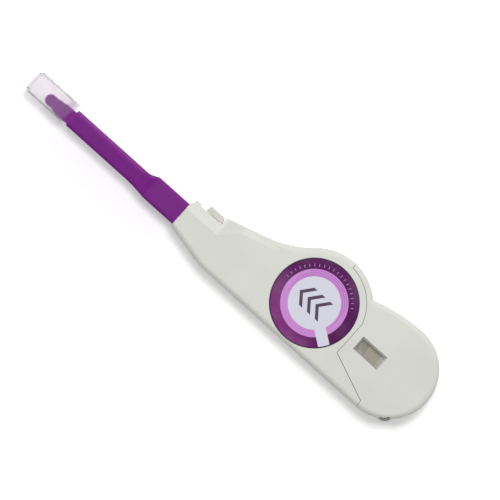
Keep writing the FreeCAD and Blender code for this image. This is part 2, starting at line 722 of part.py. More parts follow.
def nozzle():
    """Rectangular tube: the plan outline and the side outline meet in one moulded form."""
    plan = doc.addObject("Sketcher::SketchObject", "nozzlePlan")
    flaredProfile(plan, "wideLow", "wideHigh", "slimLow", "slimHigh")
    sideView = doc.addObject("Sketcher::SketchObject", "nozzleSide")
    flaredProfile(sideView, "axisZ - wideHalfZ", "axisZ + wideHalfZ",
                  "axisZ - slimHalfZ", "axisZ + slimHalfZ")
    sideView.Placement = Placement(Vector(0, 0, 0), Rotation(Vector(1, 0, 0), 90))
    doc.recompute()
    solids = []
    for sketch, direction, reach in ((plan, (0, 0, 1), 40), (sideView, (0, -1, 0), 40)):
        thick = doc.addObject("Part::Extrusion", "thick")
        thick.Base = sketch
        thick.Dir = Vector(*direction)
        thick.LengthFwd = reach
        thick.Solid = True
        solids.append(thick)
    tube = doc.addObject("Part::MultiCommon", "tube")
    tube.Shapes = solids
    doc.recompute()

    long = [i for i, edge in enumerate(tube.Shape.Edges, start=1)
            if edge.BoundBox.XLength > 1 and edge.Length > 3]
    rounded = doc.addObject("Part::Fillet", "roundedTube")
    rounded.Base = tube
    rounded.Edges = [(i, size("nozzleRound"), size("nozzleRound")) for i in long]
    doc.recompute()

    def block(x0, x1, y0, y1, z0, z1):
        piece = doc.addObject("Part::Box", "block")
        bind(piece, "Length", f"({x1}) - ({x0})")
        bind(piece, "Width", f"({y1}) - ({y0})")
        bind(piece, "Height", f"({z1}) - ({z0})")
        bind(piece, "Placement.Base.x", x0)
        bind(piece, "Placement.Base.y", y0)
        bind(piece, "Placement.Base.z", z0)
        return piece

    collar = block("collarX", "collarBack + 0.5", "collarLow", "collarHigh",
                   "axisZ - collarHalfZ", "axisZ + collarHalfZ")
    nose = doc.addObject("Sketcher::SketchObject", "nosePlan")
    tip, root = size("collarX - noseLength"), size("collarX")
    low, high = size("axisY - channelHalfY - noseWall"), size("axisY + channelHalfY + noseWall")
    edgesInSketch(nose, [
        Part.LineSegment(Vector(root, size("collarLow"), 0), Vector(root, size("collarHigh"), 0)),
        Part.Arc(Vector(root, size("collarHigh"), 0),
                 Vector((2 * root + tip) / 3, (3 * high + size("collarHigh")) / 4, 0), Vector(tip, high, 0)),
        Part.LineSegment(Vector(tip, high, 0), Vector(tip, low, 0)),
        Part.LineSegment(Vector(tip, low, 0), Vector(root, size("collarLow"), 0)),
    ])
    narrow = doc.addObject("Part::Extrusion", "narrow")
    narrow.Base = nose
    narrow.Dir = Vector(0, 0, 1)
    bind(narrow, "LengthFwd", "2 * collarHalfZ")
    narrow.Solid = True
    bind(narrow, "Placement.Base.z", "axisZ - collarHalfZ")
    key = block("collarBack", "flareEnd - 1", "slimHigh - 0.5", "keyHigh",
                "axisZ - keyHalfZ", "axisZ + keyHalfZ")
    outside = doc.addObject("Part::MultiFuse", "outside")
    outside.Shapes = [rounded, collar, narrow, key]
    channel = block("collarX - noseLength - 1", "nozzleRear", "axisY - channelHalfY", "axisY + channelHalfY",
                    "axisZ - channelHalfZ", "axisZ + channelHalfZ")
    hollow = block("pocketFront", "nozzleRear + 1", "pocketLow", "pocketHigh",
                   "axisZ - pocketHalfZ", "axisZ + pocketHalfZ")
    inside = doc.addObject("Part::MultiFuse", "inside")
    inside.Shapes = [channel, hollow]
    tubeCut = doc.addObject("Part::Cut", "nozzle")
    tubeCut.Base = outside
    tubeCut.Tool = inside
    tubeCut.Label = "nozzle"
    doc.recompute()
    return tubeCut


def sliderRack():
    """Carriage plugged into the nozzle's rear, with the rack bar and the spring lug."""
    body = newBody("slider_rack")
    padBox(body, "XY_Plane", "axisZ - pocketHalfZ + 0.1", "2 * pocketHalfZ - 0.2",
           "nozzleRear - 9", "axisY - 1.6", "nozzleRear + 3", "axisY + 1.6")
    padBox(body, "XY_Plane", "rackLow", "gearTop - rackLow",
           "nozzleRear + 0.1", "rackBack", "rackEnd", "-module * gearTeeth / 2 - module")
    padBox(body, "XY_Plane", "rackLow", "gearTop - rackLow",
           "lockRear + 1.6", "-9", "lugX", "-1")
    padBox(body, "XY_Plane", "rackLow", "axisZ + 3 - rackLow", "lugX - 1.6", "-5.9", "lugX", "-0.8")
    spigot = newSketch(body, "YZ_Plane", "lugX - 0.5")
    circle(spigot, "springY", "axisZ", "1.3")
    pad(body, spigot, "2.5")
    # rack teeth: straight flanks at the gear's pressure angle, thinned by the backlash
    pitchLine = -size("module") * size("gearTeeth") / 2
    pitch = math.pi * size("module")
    lean = math.tan(math.radians(20))
    half = pitch / 4 - size("backlash") / 2
    count = 8
    root, tip = -1.1 * size("module"), 0.95 * size("module")
    first = pitch * 0.5 + 1 * pitch
    tooth = newSketch(body, "XY_Plane", "rackLow", "tooth")
    polygon(tooth, [(first - half + lean * root, pitchLine + root),
                    (first + half - lean * root, pitchLine + root),
                    (first + half - lean * tip, pitchLine + tip),
                    (first - half + lean * tip, pitchLine + tip)])
    cut = pad(body, tooth, "gearTop - rackLow")
    linear(body, cut, "X_Axis", str(pitch * (count - 1)), str(count), back=True)
    # spigot for the head's spring
    front = newSketch(body, "YZ_Plane", "nozzleRear - 11")
    circle(front, "axisY", "axisZ", "1.0")
    pad(body, front, "2.5")
    return body


def cleaningHead():
    """Two cheeks on a web, closed in front by the round nose that the tape turns on."""
    body = newBody("cleaning_head")
    cheekLow = "axisZ - headHalfZ"
    cheekHigh = "axisZ + headHalfZ - cheek"
    nose = size("tipX + headHalfY")
    high, low = size("axisY + headHalfY"), size("axisY - headHalfY")
    for height in (cheekLow, cheekHigh):
        sketch = newSketch(body, "XY_Plane", height, "cheek")
        edgesInSketch(sketch, [
            Part.LineSegment(Vector(size("headRear"), high, 0), Vector(nose, high, 0)),
            Part.Arc(Vector(nose, high, 0), Vector(size("tipX"), size("axisY"), 0), Vector(nose, low, 0)),
            Part.LineSegment(Vector(nose, low, 0), Vector(size("headRear"), low, 0)),
            Part.LineSegment(Vector(size("headRear"), low, 0), Vector(size("headRear"), high, 0)),
        ])
        pad(body, sketch, "cheek")
    web = "2 * headHalfZ - 2 * cheek"
    padBox(body, "XY_Plane", f"{cheekLow} + cheek - 0.1", f"{web} + 0.2", "tipX + headHalfY",
           "axisY - webHalf", "headRear", "axisY + webHalf")
    padDisc(body, f"{cheekLow} + cheek - 0.1", f"{web} + 0.2", "tipX + headHalfY", "axisY", "noseRadius")
    # stop tabs that bear on the step inside the nozzle
    for height in ("axisZ - pocketHalfZ + 0.2", "axisZ + headHalfZ - 0.2"):
        padBox(body, "XY_Plane", height, "pocketHalfZ - headHalfZ",
               "pocketFront + 0.05", "axisY - 1.6", "pocketFront + 0.05 + stopLength", "axisY + 1.6")
    # spigot for the spring
    rear = newSketch(body, "YZ_Plane", "headRear - 0.5")
    circle(rear, "axisY", "axisZ", "0.95")
    pad(body, rear, "2.5")
    return body


def guideCap():
    """Clear cap: a short sleeve with a port in front for a plug's nose."""
    body = newBody("guide_cap")
    padBox(body, "XY_Plane", "axisZ - capHalfZ", "2 * capHalfZ", "capFront", "capLow", "capRear", "capHigh")
    front = size("capFront")
    roundEdges(body, "capRound", lambda edge: abs(edge.CenterOfMass.x - front) < 0.01
               and edge.BoundBox.ZLength > 5)
    roundEdges(body, "1.0", lambda edge: edge.BoundBox.XLength > 10 and edge.BoundBox.ZLength < 1)
    cutBox(body, "XY_Plane", "axisZ - capHalfZ + 1", "2 * capHalfZ - 2",
           "capFront + 1", "capLow + capWall", "capRear + 1", "capHigh - capWall")
    cutBox(body, "XY_Plane", "axisZ - capHalfZ + 1.2", "2 * capHalfZ - 2.4",
           "capFront - 1", "capLow + 1.6", "capFront + 2", "capHigh - 1.4")
    # ribs that grip the nozzle's collar, and the tab that keys over it
    for height in ("axisZ - 4.4", "axisZ + 3.4"):
        padBox(body, "XY_Plane", height, "1",
               "collarX + 0.2", "collarHigh + 0.05", "capRear", "capHigh - 0.3")
    for height in ("axisZ - capHalfZ + 0.5", "axisZ + collarHalfZ + 0.05"):
        padBox(body, "XY_Plane", height, "capHalfZ - collarHalfZ - 0.55", "collarX + 0.2",
               "axisY - 1.5", "capRear", "axisY + 1.5")
    padBox(body, "XY_Plane", "axisZ - 4", "8",
           "capRear - 0.5", "capHigh - capWall", "capRear + capTab", "capHigh")
    roundEdges(body, "0.6", lambda edge: abs(edge.CenterOfMass.x - size("capRear + capTab")) < 0.01
               and edge.CenterOfMass.y > size("capHigh") - 0.01, "Chamfer")
    return body


# ---------------------------------------------------------------- drive and reels

def driveGear():
    """Involute gear with a raised rim that carries the clutch spring."""
    wires = fcgear.FCWireBuilder()
    involute.CreateExternalGear(wires, size("module"), int(size("gearTeeth")), 20, True)
    teeth = Part.Wire([piece.toShape() for piece in wires.wire])
    low, top = size("gearLow"), size("gearTop")
    solid = Part.Face(teeth).extrude(Vector(0, 0, top - low))
    bore = Part.makeCylinder(size("axleRadius + axleFit"), top - low + 2, Vector(0, 0, -1))
    dish = Part.makeCylinder(6.2, 0.9, Vector(0, 0, top - low - 0.9)).cut(
        Part.makeCylinder(3.4, 2, Vector(0, 0, top - low - 1.5)))
    gear = doc.addObject("Part::Feature", "drive_gear")
    gear.Label = "drive_gear"
    gear.Shape = solid.cut(bore).cut(dish)
    gear.Placement = Placement(Vector(0, 0, low), Rotation())
    return gear


def clutchSpring():
    """Flat spring washer with three arms that push the reel one way."""
    body = newBody("clutch_spring")
    padDisc(body, "gearTop + 0.05", "0.2", "0", "0", "6.1")
    cutDisc(body, "gearTop", "0.4", "0", "0", "axleRadius + 0.4")
    slot = newSketch(body, "XY_Plane", "gearTop", "slot")
    polygon(slot, [("-2.6", "3.3"), ("1.9", "3.3"), ("1.9", "4.0"), ("-1.9", "4.0"),
                   ("-1.9", "5.2"), ("-2.6", "5.2")])
    cut = pocket(body, slot, "0.4", up=True)
    polar(body, cut, "3")
    return body


def reel(label, x, hub, windows):
    body = newBody(label)
    low, high = "flangeLow", "flangeHigh"
    bore = "axleRadius + axleFit"
    outline = [(bore, low), ("flangeRadius", low), ("flangeRadius", "flangeLow + flangeSheet"),
               (hub, "flangeLow + flangeSheet"), (hub, high)]
    if label == "supply_reel":
        outline += [("collarRadius - 1.6", high), ("collarRadius - 1.6", "flangeHigh + 1.5"),
                    (bore, "flangeHigh + 1.5")]
    else:
        outline += [("hubRadius - 1.6", high), ("hubRadius - 1.6", "flangeHigh + 0.7"),
                    (bore, "flangeHigh + 0.7")]
    revolve(body, outline)
    opening = newSketch(body, "XY_Plane", "flangeLow - 1", "opening")
    circle(opening, "12.2", "0", "2.2")
    cut = pocket(body, opening, "flangeSheet + 1.5", up=True)
    polar(body, cut, windows)
    moved(body, x)
    return body


def takeupFlange():
    """Upper flange with the ratchet wheel that the pawl rests against."""
    body = newBody("takeup_flange")
    padDisc(body, "flangeHigh", "flangeSheet", "0", "0", "flangeRadius")
    cutDisc(body, "flangeHigh - 1", "4", "0", "0", "hubRadius - 1.55")
    ring = newSketch(body, "XY_Plane", "flangeHigh + flangeSheet - 0.05", "ratchet")
    teeth = int(size("ratchetTeeth"))
    tip, root = size("ratchetRadius"), size("ratchetRadius") - 0.8
    points = []
    for i in range(teeth):
        angle = 2 * math.pi * i / teeth
        points.append((tip * math.cos(angle), tip * math.sin(angle)))
        points.append((root * math.cos(angle), root * math.sin(angle)))
    count = len(points)
    spots = [Vector(x, y, 0) for x, y in points]
    edgesInSketch(ring, [Part.LineSegment(spots[i], spots[(i + 1) % count]) for i in range(count)])
    circle(ring, "0", "0", "hubRadius - 1.55")
    pad(body, ring, "1.4")
    return body


def supplyFlange():
    body = newBody("supply_flange")
    padDisc(body, "flangeHigh", "flangeSheet - 0.1", "0", "0", "flangeRadius")
    cutDisc(body, "flangeHigh - 1", "4", "0", "0", "collarRadius - 1.55")
    padDisc(body, "flangeHigh + 0.6", "0.9", "0", "0", "collarRadius")
    cutDisc(body, "flangeHigh - 1", "4", "0", "0", "collarRadius - 1.55")
    moved(body, "reelGap")
    return body


def tapeRoll(label, x, outer):
    body = newBody(label)
    revolve(body, [("hubRadius + 0.02", "tapeLow"), (f"{outer} - 0.15", "tapeLow"),
                   (outer, "tapeLow + 0.15"), (outer, "tapeLow + tapeWidth - 0.15"),
                   (f"{outer} - 0.15", "tapeLow + tapeWidth"), ("hubRadius + 0.02", "tapeLow + tapeWidth")])
    moved(body, x)
    return body


def supplyBrake():
    """Dished washer under the supply reel that keeps the tape taut."""
    body = newBody("supply_brake")
    revolve(body, [("axleRadius + 0.2", "flangeLow - 0.48"), ("4.2", "flangeLow - 0.3"),
                   ("4.2", "flangeLow - 0.08"), ("axleRadius + 0.2", "flangeLow - 0.26")])
    moved(body, "reelGap")
    return body


def backstopPawl():
    """Sprung pawl beside the ratchet wheel."""
    body = newBody("backstop_pawl")
    low = "flangeHigh + flangeSheet + 0.25"
    px, py = (size(text) for text in pawlSpot)
    padDisc(body, low, f"flangeHigh + 1.9 - ({low})", *pawlSpot, "1.5")
    away = Vector(px, py, 0)
    inward = (away * -1).normalize()
    sidewise = Vector(-inward.y, inward.x, 0)
    tip = inward * -(size("ratchetRadius") + 0.25)
    spots = [away + sidewise * 1.2, tip + sidewise * 1.0 - inward * 1.4, tip - sidewise * 0.2,
             tip - sidewise * 0.5 - inward * 0.5, away - sidewise * 0.1]
    arm = newSketch(body, "XY_Plane", low, "arm")
    edgesInSketch(arm, [Part.LineSegment(spots[i], spots[(i + 1) % 5]) for i in range(5)])
    pad(body, arm, f"flangeHigh + 1.9 - ({low})")
    return body


# ---------------------------------------------------------------- tape, pins and springs

pawlSpot = ("10.6", "10.6")
pinSpots = [("17", "bottomY + 3.4"), ("-17", "bottomY + 3.4"), ("-36", "axisY - 3.6")]


def guidePins():
    """Three steel pins in one node, turned with a small point."""
    pins = []
    for x, y in pinSpots:
        post = doc.addObject("Part::Cylinder", "post")
        bind(post, "Radius", "pinRadius")
        bind(post, "Height", "tapeWidth + 1.6")
        bind(post, "Placement.Base.x", x)
        bind(post, "Placement.Base.y", y)
        bind(post, "Placement.Base.z", "tapeLow - 0.9")
        pins.append(post)
    group = doc.addObject("Part::Compound", "guide_pins")
    group.Links = pins
    group.Label = "guide_pins"
    return group


def stripAlong(edges):
    """Tape standing on edge: the route widened by the tape's thickness and raised to its width."""
    half = size("tapeSheet") / 2
    faces = []
    for edge in edges:
        if isinstance(edge, Part.LineSegment):
            start, end = edge.StartPoint, edge.EndPoint
            side = (end - start).normalize()
            side = Vector(-side.y, side.x, 0) * half
            wire = Part.makePolygon([start + side, end + side, end - side, start - side, start + side])
            faces.append(Part.Face(wire))
        else:
            curve = edge.toShape()
            centre = curve.Curve.Center
            radius = curve.Curve.Radius
            first, last = curve.valueAt(curve.FirstParameter), curve.valueAt(curve.LastParameter)
            middle = curve.valueAt((curve.FirstParameter + curve.LastParameter) / 2)

            def at(point, shift):
                return centre + (point - centre).normalize() * (radius + shift)

            outer = Part.Arc(at(first, half), at(middle, half), at(last, half))
            inner = Part.Arc(at(first, -half), at(middle, -half), at(last, -half))
            wire = Part.Wire([
                outer.toShape(), Part.LineSegment(outer.EndPoint, inner.EndPoint).toShape(),
                inner.toShape(), Part.LineSegment(inner.StartPoint, outer.StartPoint).toShape()])
            faces.append(Part.Face(wire))
    strip = faces[0].extrude(Vector(0, 0, size("tapeWidth")))
    for face in faces[1:]:
        strip = strip.fuse(face.extrude(Vector(0, 0, size("tapeWidth"))))
    strip = strip.removeSplitter()
    strip.translate(Vector(0, 0, size("tapeLow")))
    return strip


def feature(label, shape):
    piece = doc.addObject("Part::Feature", label)
    piece.Label = label
    piece.Shape = shape
    return piece


def turnArc(centre, start, end, radius):
    middle = ((start - centre) + (end - centre)).normalize() * radius
    return Part.Arc(start, centre + middle, end)


def tapes():
    """Tape in the casing, in the nozzle and round the head. It slides past itself at the joints."""
    half = size("tapeSheet") / 2
    supply = Vector(size("reelGap"), 0, 0)
    pins = [Vector(size(x), size(y), 0) for x, y in pinSpots]
    around = size("pinRadius") + half + 0.02
    feedY = size("axisY") - 2.6
    returnY = size("axisY") + 2.6

    # from the supply roll under two pins and over the third, then forward into the nozzle
    rollEnd, pinStart = leftRun(supply, size("freshRadius") + half + 0.02, pins[0], around)
    pinEnd, nextStart = leftRun(pins[0], around, pins[1], around)
    nextEnd, lastStart = crossRun(pins[1], around, pins[2], around)
    lastEnd = pins[2] + Vector(0, around, 0)
    front = Vector(-52, lastEnd.y, 0)
    feed = feature("feed_tape", stripAlong([
        Part.LineSegment(rollEnd, pinStart), turnArc(pins[0], pinStart, pinEnd, around),
        Part.LineSegment(pinEnd, nextStart), turnArc(pins[1], nextStart, nextEnd, around),
        Part.LineSegment(nextEnd, lastStart), turnArc(pins[2], lastStart, lastEnd, around),
        Part.LineSegment(lastEnd, front)]))

    # back from the nozzle to the underside of the take-up roll
    radius = size("usedRadius") + half + 0.02
    mouth = Vector(-40, returnY, 0)
    reach = math.sqrt(mouth.dot(mouth) - radius * radius)
    angle = math.atan2(-mouth.y, -mouth.x) - math.asin(radius / mouth.Length)
    landing = mouth + Vector(math.cos(angle), math.sin(angle), 0) * reach
    back = feature("return_tape", stripAlong([
        Part.LineSegment(Vector(-52, returnY, 0), mouth), Part.LineSegment(mouth, landing)]))

    inNozzle = [stripAlong([Part.LineSegment(Vector(-80.5, size("axisY") + side * 2.4, 0),
                                             Vector(-50, size("axisY") + side * 2.4, 0))])
                for side in (-1, 1)]
    middle = feature("nozzle_tape", Part.makeCompound(inNozzle))

    nose = Vector(size("tipX + headHalfY"), size("axisY"), 0)
    wrap = size("noseRadius") + half + 0.01
    low, high = nose - Vector(0, wrap, 0), nose + Vector(0, wrap, 0)
    rear = Vector(size("headRear") - nose.x, 0, 0)
    loop = feature("head_tape", stripAlong([
        Part.LineSegment(low + rear, low),
        Part.Arc(low, nose - Vector(wrap, 0, 0), high),
        Part.LineSegment(high, high + rear)]))
    return [feed, back, middle, loop]


def leftRun(centreA, radiusA, centreB, radiusB):
    """Run under both circles, from A forward to B."""
    gap = centreB - centreA
    direction = gap * (1 / gap.Length)
    below = Vector(-direction.y, direction.x, 0)
    lean = (radiusA - radiusB) / gap.Length
    normal = direction * lean + below * math.sqrt(1 - lean * lean)
    return centreA + normal * radiusA, centreB + normal * radiusB


def crossRun(centreA, radiusA, centreB, radiusB):
    """Run that leaves A on its lower side and meets B on its upper side."""
    gap = centreB - centreA
    direction = gap * (1 / gap.Length)
    below = Vector(-direction.y, direction.x, 0)
    lean = (radiusA + radiusB) / gap.Length
    normal = direction * lean + below * math.sqrt(1 - lean * lean)
    return centreA + normal * radiusA, centreB - normal * radiusB


def coilSpring(label, front, rear, y, radius, wire, turns):
    """Compression spring along X: half rings, each ending where the next one starts."""
    facets = 6
    halves = 2 * turns
    x0, x1 = size(front) + wire, size(rear) - wire
    rise = (x1 - x0) / (halves - 2)
    section = [Vector(math.cos(2 * math.pi * k / facets), 0, math.sin(2 * math.pi * k / facets)) * wire
               for k in range(facets)]
    rings = []
    side, height = 1, 0.0
    for i in range(halves):
        start = Vector(side * radius, 0, height)
        if 0 < i < halves - 1:
            height += rise
        end = Vector(-side * radius, 0, height)
        centre = (start + end) * 0.5
        corners = [start + corner for corner in section]
        disc = Part.Face(Part.makePolygon(corners + corners[:1]))
        rings.append(disc.revolve(centre, (start - centre).cross(Vector(0, side, 0)), 180))
        side = -side
    shape = rings[0].fuse(rings[1:]).Solids[0]
    piece = feature(label, shape)
    piece.Placement = Placement(Vector(x0, size(y), size("axisZ")), Rotation(Vector(0, 1, 0), 90))
    return piece


# ---------------------------------------------------------------- build and write

pieces = [lowerCase(), frontCover(), rearCover(), windowPane(), roundLabel(), lockButton()]
pieces += [nozzle(), sliderRack(), cleaningHead(), guideCap()]
pieces += [driveGear(), clutchSpring(), reel("takeup_reel", "0", "hubRadius", "6"), takeupFlange(),
           tapeRoll("used_tape", "0", "usedRadius"), reel("supply_reel", "reelGap", "hubRadius", "6"),
           supplyFlange(), tapeRoll("tape_roll", "reelGap", "freshRadius"), supplyBrake(), backstopPawl()]
pieces += [guidePins()] + tapes()
pieces += [coilSpring("return_spring", "lugX", "ribX", "springY", 1.9, 0.25, 8),
           coilSpring("head_spring", "headRear", "nozzleRear - 9", "axisY", 1.45, 0.2, 7)]
doc.recompute()

for thing in doc.Objects:
    if "Invalid" in thing.State or "Error" in thing.State:
        raise RuntimeError(f"{thing.Label} did not build: {thing.State}")
for piece in pieces:
    if piece.Shape.isNull() or not piece.Shape.isValid():
        raise RuntimeError(f"{piece.Label} has no valid shape")

os.makedirs("parts", exist_ok=True)
for piece in pieces:
    piece.Shape.exportStep(f"parts/{piece.Label}.step")
    print(f"{piece.Label:16s} volume {piece.Shape.Volume:9.1f}  solids {len(piece.Shape.Solids)}"
          f"  faces {len(piece.Shape.Faces)}")
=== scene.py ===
import bpy
import bmesh
import math
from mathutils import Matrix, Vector


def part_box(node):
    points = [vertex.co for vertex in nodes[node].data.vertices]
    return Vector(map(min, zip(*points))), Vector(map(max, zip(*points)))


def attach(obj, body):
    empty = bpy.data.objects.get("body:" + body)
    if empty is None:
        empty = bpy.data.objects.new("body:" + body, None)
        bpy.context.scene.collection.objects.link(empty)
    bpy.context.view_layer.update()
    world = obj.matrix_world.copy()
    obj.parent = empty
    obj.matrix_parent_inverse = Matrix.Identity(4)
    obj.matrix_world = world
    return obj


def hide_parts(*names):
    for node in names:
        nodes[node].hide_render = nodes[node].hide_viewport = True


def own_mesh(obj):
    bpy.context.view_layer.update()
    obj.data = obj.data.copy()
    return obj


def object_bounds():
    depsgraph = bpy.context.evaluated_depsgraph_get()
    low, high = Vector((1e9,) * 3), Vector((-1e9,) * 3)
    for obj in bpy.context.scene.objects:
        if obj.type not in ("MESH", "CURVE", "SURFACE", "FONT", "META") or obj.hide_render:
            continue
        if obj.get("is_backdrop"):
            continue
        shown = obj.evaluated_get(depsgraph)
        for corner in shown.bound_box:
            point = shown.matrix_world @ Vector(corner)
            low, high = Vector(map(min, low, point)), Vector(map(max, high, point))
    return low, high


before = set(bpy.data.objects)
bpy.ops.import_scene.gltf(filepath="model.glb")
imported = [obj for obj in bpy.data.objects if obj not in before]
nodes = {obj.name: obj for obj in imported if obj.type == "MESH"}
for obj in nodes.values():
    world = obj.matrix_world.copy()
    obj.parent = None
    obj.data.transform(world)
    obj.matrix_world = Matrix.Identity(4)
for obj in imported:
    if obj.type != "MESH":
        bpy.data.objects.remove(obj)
cadLow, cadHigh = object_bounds()
print("frame loaded,", len(nodes), "nodes")

mm = 0.001


# shader helpers

def srgb(red, green, blue):
    # screen values 0-255 to the linear colour that the shaders take
    def lin(v):
        v = v / 255
        return v / 12.92 if v <= 0.04045 else ((v + 0.055) / 1.055) ** 2.4
    return (lin(red), lin(green), lin(blue), 1.0)


def feed(tree, socket, value):
    # a socket takes a link or a plain value
    if isinstance(value, bpy.types.NodeSocket):
        tree.links.new(value, socket)
    else:
        socket.default_value = value


def addNode(tree, kind, inputs=None, **settings):
    node = tree.nodes.new(kind)
    for name, value in settings.items():
        setattr(node, name, value)
    for name, value in (inputs or {}).items():
        feed(tree, node.inputs[name], value)
    return node


def maths(tree, operation, a, b=0.0, clamp=False):
    node = tree.nodes.new("ShaderNodeMath")
    node.operation = operation
    node.use_clamp = clamp
    for socket, value in zip(node.inputs, (a, b)):
        feed(tree, socket, value)
    return node.outputs[0]


def mixColor(tree, factor, a, b):
    node = tree.nodes.new("ShaderNodeMix")
    node.data_type = "RGBA"
    # a colour mix has its factor at 0 and its two colours at 6 and 7
    for place, value in ((0, factor), (6, a), (7, b)):
        feed(tree, node.inputs[place], value)
    return node.outputs[2]


def spread(tree, value, low, high, outLow=0.0, outHigh=1.0, smooth=True):
    node = addNode(tree, "ShaderNodeMapRange",
                   {"Value": value, "From Min": low, "From Max": high, "To Min": outLow, "To Max": outHigh})
    node.interpolation_type = "SMOOTHSTEP" if smooth else "LINEAR"
    return node.outputs["Result"]


def newGroup(name, inputs, outputs):
    group = bpy.data.node_groups.new(name, "ShaderNodeTree")
    kinds = {"color": "NodeSocketColor", "value": "NodeSocketFloat", "vector": "NodeSocketVector"}
    for label, kind, start in inputs:
        socket = group.interface.new_socket(name=label, in_out="INPUT", socket_type=kinds[kind])
        socket.default_value = start
    for label, kind in outputs:
        group.interface.new_socket(name=label, in_out="OUTPUT", socket_type=kinds[kind])
    groupIn = group.nodes.new("NodeGroupInput")
    groupOut = group.nodes.new("NodeGroupOutput")
    return group, groupIn.outputs, groupOut.inputs


def useGroup(tree, group, **inputs):
    node = tree.nodes.new("ShaderNodeGroup")
    node.node_tree = group
    for name, value in inputs.items():
        feed(tree, node.inputs[name], value)
    return node.outputs


def newMaterial(name):
    material = bpy.data.materials.new(name)
    material.use_nodes = True
    tree = material.node_tree
    return material, tree, tree.nodes["Principled BSDF"]


def dress(node, material):
    mesh = nodes[node].data
    mesh.materials.clear()
    mesh.materials.append(material)


def addMesh(bm, name, material):
    mesh = bpy.data.meshes.new(name)
    bm.to_mesh(mesh)
    bm.free()
    mesh.materials.append(material)
    thing = bpy.data.objects.new(name, mesh)
    bpy.context.scene.collection.objects.link(thing)
    return thing


# shared effects

def makeMouldGrain():
    # spark-eroded mould texture: fine pits over softer lumps
    group, given, result = newGroup(
        "mouldGrain",
        [("Scale", "value", 6000.0), ("Softness", "value", 0.4)],
        [("Height", "value"), ("Fleck", "value")])
    place = addNode(group, "ShaderNodeTexCoord").outputs["Object"]
    pits = addNode(group, "ShaderNodeTexNoise", {"Vector": place, "Scale": given["Scale"], "Detail": 3.0,
                                                 "Roughness": 0.6}).outputs["Fac"]
    lumpScale = maths(group, "MULTIPLY", given["Scale"], 0.31)
    lumps = addNode(group, "ShaderNodeTexVoronoi", {"Vector": place, "Scale": lumpScale},
                    feature="SMOOTH_F1").outputs["Distance"]
    soft = maths(group, "MULTIPLY", lumps, given["Softness"])
    group.links.new(maths(group, "ADD", pits, soft), result["Height"])
    group.links.new(spread(group, pits, 0.35, 0.65), result["Fleck"])
    return group


def makeRubbedAndHighlightedEdges():
    # rounds hard edges in the shading, and marks them for polish and for a painted highlight
    group, given, result = newGroup(
        "rubbedAndHighlightedEdges",
        [("Radius", "value", 0.0003)],
        [("Normal", "vector"), ("Edge", "value")])
    rounded = addNode(group, "ShaderNodeBevel", {"Radius": given["Radius"]}, samples=4).outputs["Normal"]
    true = addNode(group, "ShaderNodeNewGeometry").outputs["Normal"]
    dot = addNode(group, "ShaderNodeVectorMath", operation="DOT_PRODUCT")
    group.links.new(rounded, dot.inputs[0])
    group.links.new(true, dot.inputs[1])
    away = maths(group, "SUBTRACT", 1.0, dot.outputs["Value"], clamp=True)
    group.links.new(rounded, result["Normal"])
    group.links.new(spread(group, away, 0.004, 0.12), result["Edge"])
    return group


def makeHandling():
    # cloudy tone from handling, and hairline scratches in two directions
    group, given, result = newGroup(
        "handling",
        [("Color", "color", (0.8, 0.8, 0.8, 1)), ("Tint", "color", (0.7, 0.7, 0.65, 1)),
         ("Cloud Scale", "value", 45.0), ("Amount", "value", 0.12), ("Scratches", "value", 0.15)],
        [("Color", "color"), ("Gloss", "value"), ("Height", "value")])
    place = addNode(group, "ShaderNodeTexCoord").outputs["Object"]
    cloud = addNode(group, "ShaderNodeTexNoise",
                    {"Vector": place, "Scale": given["Cloud Scale"], "Detail": 5.0,
                     "Roughness": 0.55}).outputs["Fac"]
    patch = spread(group, cloud, 0.38, 0.68)
    share = maths(group, "MULTIPLY", patch, given["Amount"])
    lines = None
    for turn, stretch in ((0.4, 900.0), (2.1, 700.0)):
        turned = addNode(group, "ShaderNodeMapping", {"Vector": place, "Rotation": (0, 0, turn),
                                                      "Scale": (12.0, stretch, 200.0)}).outputs["Vector"]
        streak = addNode(group, "ShaderNodeTexNoise",
                         {"Vector": turned, "Scale": 4.0, "Detail": 1.0}).outputs["Fac"]
        thin = spread(group, streak, 0.71, 0.76)
        lines = thin if lines is None else maths(group, "MAXIMUM", lines, thin)
    scratch = maths(group, "MULTIPLY", lines, given["Scratches"])
    group.links.new(mixColor(group, share, given["Color"], given["Tint"]), result["Color"])
    matt = maths(group, "MULTIPLY", scratch, 0.5)
    gloss = maths(group, "ADD", maths(group, "MULTIPLY", patch, 0.08), matt)
    group.links.new(gloss, result["Gloss"])
    group.links.new(maths(group, "MULTIPLY", scratch, -1.0), result["Height"])
    return group


mouldGrain = makeMouldGrain()
rubbedAndHighlightedEdges = makeRubbedAndHighlightedEdges()
handling = makeHandling()
print("shared effects made")


# moulded plastics

mouldShared = {"softness": 0.4, "ior": 1.46, "fleckRough": 0.05, "edgePolish": 0.07, "grainHeight": 0.5}


